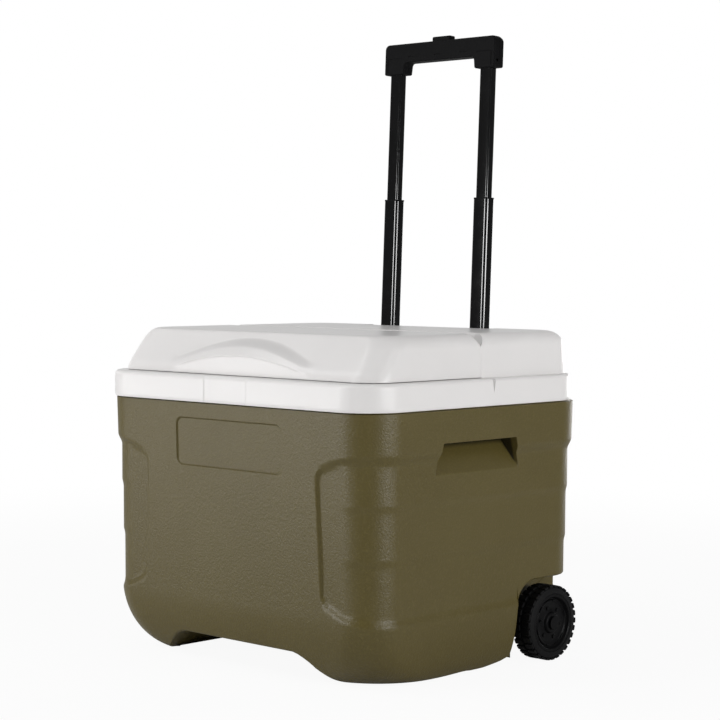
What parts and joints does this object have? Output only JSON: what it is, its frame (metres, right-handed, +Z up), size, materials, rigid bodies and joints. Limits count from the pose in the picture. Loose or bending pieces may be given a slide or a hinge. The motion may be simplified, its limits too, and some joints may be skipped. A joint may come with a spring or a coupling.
{
  "type": "cooler on wheels",
  "caption": "Hard-sided insulated cool box with a hinged front lid, telescopic pull handle with release button, and rear wheels on an axle.",
  "frame": {"origin": "on the floor, under the middle of the overall box", "axes": "+Z up, the front with the finger pull faces -Y, the wheel axle lies along X"},
  "size_m": [0.5186, 0.43, 0.8482],
  "materials": {
    "olive_plastic": "olive, fine moulded texture",
    "white_plastic": "white, satin gloss",
    "liner_plastic": "white, smooth",
    "foam": "rigid foam",
    "seal_rubber": "soft grey seal",
    "tube_paint": "gloss black",
    "guide_steel": "plain steel tube",
    "grip_plastic": "satin black",
    "slide_plastic": "black, low friction",
    "bright_steel": "zinc plated",
    "tyre_rubber": "black, moulded tread",
    "wheel_plastic": "black, semi gloss"
  },
  "bodies": {
    "body": {"outer_shell": "olive_plastic", "foam_core": "foam", "inner_liner": "liner_plastic", "rim_collar": "white_plastic", "rear_deck": "white_plastic", "deck_foam": "foam", "deck_liner": "liner_plastic", "hinge_pin": "bright_steel", "guide_tube_left": "guide_steel", "guide_tube_right": "guide_steel", "guide_foot": "slide_plastic", "handle_bezel": "grip_plastic", "bezel_screws": "bright_steel", "axle": "bright_steel", "axle_bracket_left": "slide_plastic", "axle_bracket_right": "slide_plastic", "bracket_screws": "bright_steel", "axle_spacer_left": "slide_plastic", "axle_spacer_right": "slide_plastic", "axle_cap_left": "wheel_plastic", "axle_cap_right": "wheel_plastic"},
    "lid": {"lid_top": "white_plastic", "lid_foam": "foam", "lid_liner": "liner_plastic", "lid_gasket": "seal_rubber"},
    "handle_middle": {"middle_tube_left": "tube_paint", "middle_tube_right": "tube_paint", "middle_foot_left": "slide_plastic", "middle_foot_right": "slide_plastic", "middle_collar_left": "grip_plastic", "middle_collar_right": "grip_plastic"},
    "handle_top": {"inner_tube_left": "tube_paint", "inner_tube_right": "tube_paint", "inner_foot_left": "slide_plastic", "inner_foot_right": "slide_plastic", "grip_front": "grip_plastic", "grip_rear": "grip_plastic", "grip_screws": "bright_steel", "grip_pins": "bright_steel", "button_spring": "bright_steel"},
    "release": {"release_button": "grip_plastic", "release_bar": "slide_plastic", "lock_rod_left": "bright_steel", "lock_rod_right": "bright_steel"},
    "wheel_left": {"tyre_left": "tyre_rubber", "hub_left": "wheel_plastic"},
    "wheel_right": {"tyre_right": "tyre_rubber", "hub_right": "wheel_plastic"}
  },
  "joints": [
    {"name": "lid_hinge", "type": "hinge", "parent": "body", "child": "lid", "pos_m": [0, 0.008, 0.429], "axis": [-1, 0, 0], "range_deg": [0, 105]},
    {"name": "handle_lower_slide", "type": "slide", "parent": "body", "child": "handle_middle", "axis": [0, 0.0419, 0.9991], "range_m": [-0.23, 0]},
    {"name": "handle_upper_slide", "type": "slide", "parent": "handle_middle", "child": "handle_top", "axis": [0, 0.0419, 0.9991], "range_m": [-0.178, 0]},
    {"name": "release_press", "type": "slide", "parent": "handle_top", "child": "release", "axis": [0, 0.0419, 0.9991], "range_m": [-0.005, 0], "stiffness_N_per_m": 600, "springref_m": 0.003, "deforming": ["button_spring"]},
    {"name": "wheel_left_spin", "type": "hinge", "parent": "body", "child": "wheel_left", "pos_m": [-0.241, 0.141, 0.05], "axis": [1, 0, 0], "continuous": true},
    {"name": "wheel_right_spin", "type": "hinge", "parent": "body", "child": "wheel_right", "pos_m": [0.241, 0.141, 0.05], "axis": [1, 0, 0], "continuous": true}
  ]
}
